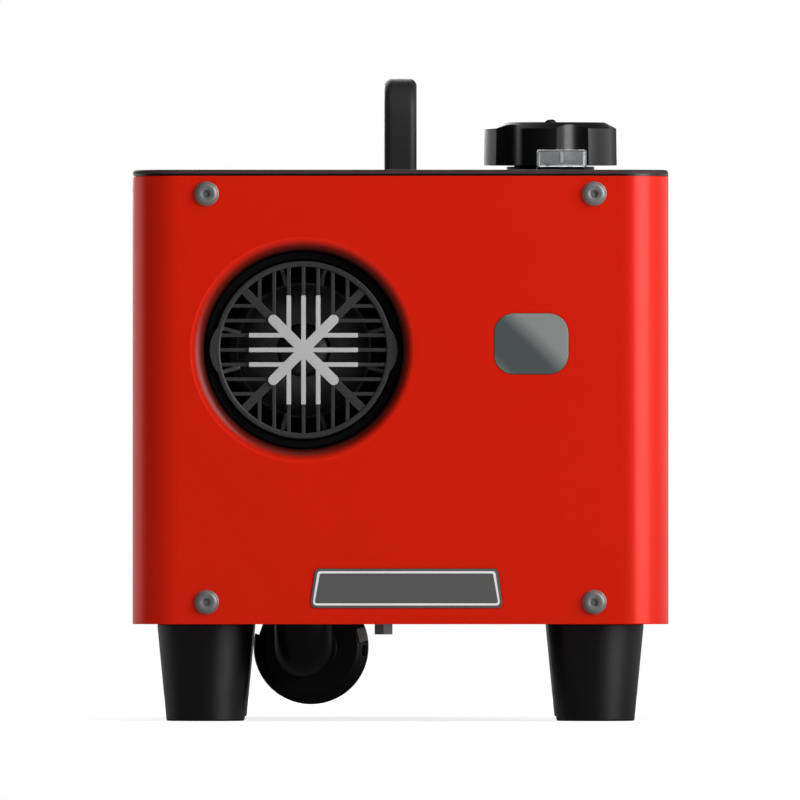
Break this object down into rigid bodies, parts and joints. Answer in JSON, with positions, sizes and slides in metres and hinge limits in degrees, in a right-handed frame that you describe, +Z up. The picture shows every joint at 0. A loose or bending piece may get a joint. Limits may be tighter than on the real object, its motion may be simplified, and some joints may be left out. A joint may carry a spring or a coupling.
{
  "type": "portable diesel air heater",
  "caption": "Red box-shaped diesel air heater on tapered feet, with a round hot-air grille, carry handle, filler cap and covered switch.",
  "frame": {"origin": "on the ground under the middle of the box", "axes": "+X to the right as seen from the front, +Y from the outlet towards the rear, +Z up"},
  "size_m": [0.3, 0.407, 0.3606],
  "materials": {
    "red_paint": "glossy red powder coat",
    "black_paint": "satin black powder coat",
    "black_plastic": "satin black moulding",
    "grey_plastic": "dark grey moulding",
    "light_plastic": "pale grey moulding",
    "dark_plate": "dark grey plate with a pale raised line",
    "inlay_film": "mirror grey film, plain",
    "screw_steel": "grey plated steel",
    "zinc_steel": "dark zinc plated steel",
    "stainless": "plain stainless tube",
    "cast_aluminium": "as cast",
    "rubber": "moulded black rubber",
    "tank_plastic": "natural blow-moulded plastic",
    "clear_plastic": "clear moulding",
    "screen_glass": "dark window",
    "board_green": "coated circuit board",
    "fuel_line": "translucent nylon tube"
  },
  "bodies": {
    "heater": {"front_panel": "red_paint", "rear_panel": "red_paint", "casing_wrap": "red_paint", "front_screw_bottom_left": "screw_steel", "front_screw_bottom_right": "screw_steel", "front_screw_top_left": "screw_steel", "front_screw_top_right": "screw_steel", "rear_screw_bottom_left": "screw_steel", "rear_screw_bottom_right": "screw_steel", "rear_screw_top_left": "screw_steel", "rear_screw_top_right": "screw_steel", "foot_front_left": "rubber", "foot_front_right": "rubber", "foot_rear_left": "rubber", "foot_rear_right": "rubber", "top_cover": "black_paint", "handle": "black_plastic", "outlet_collar": "black_plastic", "front_inlay": "inlay_film", "front_plate": "dark_plate", "intake_grille": "black_plastic", "power_inlet": "black_plastic", "fuel_tank": "tank_plastic", "filler_neck": "black_plastic", "switch_body": "black_plastic", "control_fascia": "black_plastic", "display_window": "screen_glass", "control_board": "board_green", "core_shell_upper": "black_plastic", "core_shell_lower": "black_plastic", "heat_exchanger": "cast_aluminium", "burner_housing": "cast_aluminium", "glow_plug": "zinc_steel", "blower_motor": "zinc_steel", "control_unit": "black_plastic", "mount_bolt_front": "zinc_steel", "mount_bolt_rear": "zinc_steel", "intake_silencer": "black_plastic", "silencer_cover": "black_plastic", "intake_duct": "black_plastic", "exhaust_pipe": "stainless", "exhaust_silencer": "stainless", "fuel_pump": "zinc_steel", "pump_clamp": "rubber", "fuel_supply_line": "fuel_line", "fuel_feed_line": "fuel_line"},
    "cap_seal": {"cap_gasket": "rubber"},
    "cap": {"filler_cap": "black_plastic", "cap_vent_valve": "black_plastic"},
    "grille": {"outlet_grille": "grey_plastic", "grille_star_trim": "light_plastic"},
    "blower": {"blower_wheel": "black_plastic", "burner_fan": "black_plastic"},
    "plunger": {"pump_plunger": "stainless"},
    "button_power_key": {"button_power": "rubber"},
    "button_down_key": {"button_down": "rubber"},
    "button_up_key": {"button_up": "rubber"},
    "button_set_key": {"button_set": "rubber"},
    "rocker": {"switch_rocker": "black_plastic"},
    "cover": {"switch_cover": "clear_plastic"}
  },
  "joints": [
    {"name": "cap_lift", "type": "slide", "parent": "heater", "child": "cap_seal", "axis": [0, 0, 1], "range_m": [0, 0.08]},
    {"name": "cap_turn", "type": "hinge", "parent": "cap_seal", "child": "cap", "pos_m": [0.0844, -0.045, 0.32], "axis": [0, 0, 1], "range_deg": [0, 540]},
    {"name": "grille_turn", "type": "hinge", "parent": "heater", "child": "grille", "pos_m": [-0.0543, -0.1875, 0.2078], "axis": [0, 1, 0], "range_deg": [0, 30]},
    {"name": "blower_spin", "type": "hinge", "parent": "heater", "child": "blower", "pos_m": [-0.0543, 0.14, 0.2078], "axis": [0, 1, 0], "continuous": true},
    {"name": "pump_stroke", "type": "slide", "parent": "heater", "child": "plunger", "axis": [0, 1, 0], "range_m": [0, 0.003], "stiffness_N_per_m": 400},
    {"name": "button_power_press", "type": "slide", "parent": "heater", "child": "button_power_key", "axis": [0, 0, -1], "range_m": [0, 0.0008], "stiffness_N_per_m": 1500, "springref_m": -0.0002},
    {"name": "button_down_press", "type": "slide", "parent": "heater", "child": "button_down_key", "axis": [0, 0, -1], "range_m": [0, 0.0008], "stiffness_N_per_m": 1500, "springref_m": -0.0002},
    {"name": "button_up_press", "type": "slide", "parent": "heater", "child": "button_up_key", "axis": [0, 0, -1], "range_m": [0, 0.0008], "stiffness_N_per_m": 1500, "springref_m": -0.0002},
    {"name": "button_set_press", "type": "slide", "parent": "heater", "child": "button_set_key", "axis": [0, 0, -1], "range_m": [0, 0.0008], "stiffness_N_per_m": 1500, "springref_m": -0.0002},
    {"name": "rocker_tilt", "type": "hinge", "parent": "heater", "child": "rocker", "pos_m": [0.0903, -0.14, 0.3094], "axis": [0, 1, 0], "range_deg": [-16, 0]},
    {"name": "cover_open", "type": "hinge", "parent": "heater", "child": "cover", "pos_m": [0.0903, -0.1265, 0.3127], "axis": [-1, 0, 0], "range_deg": [0, 100]}
  ]
}
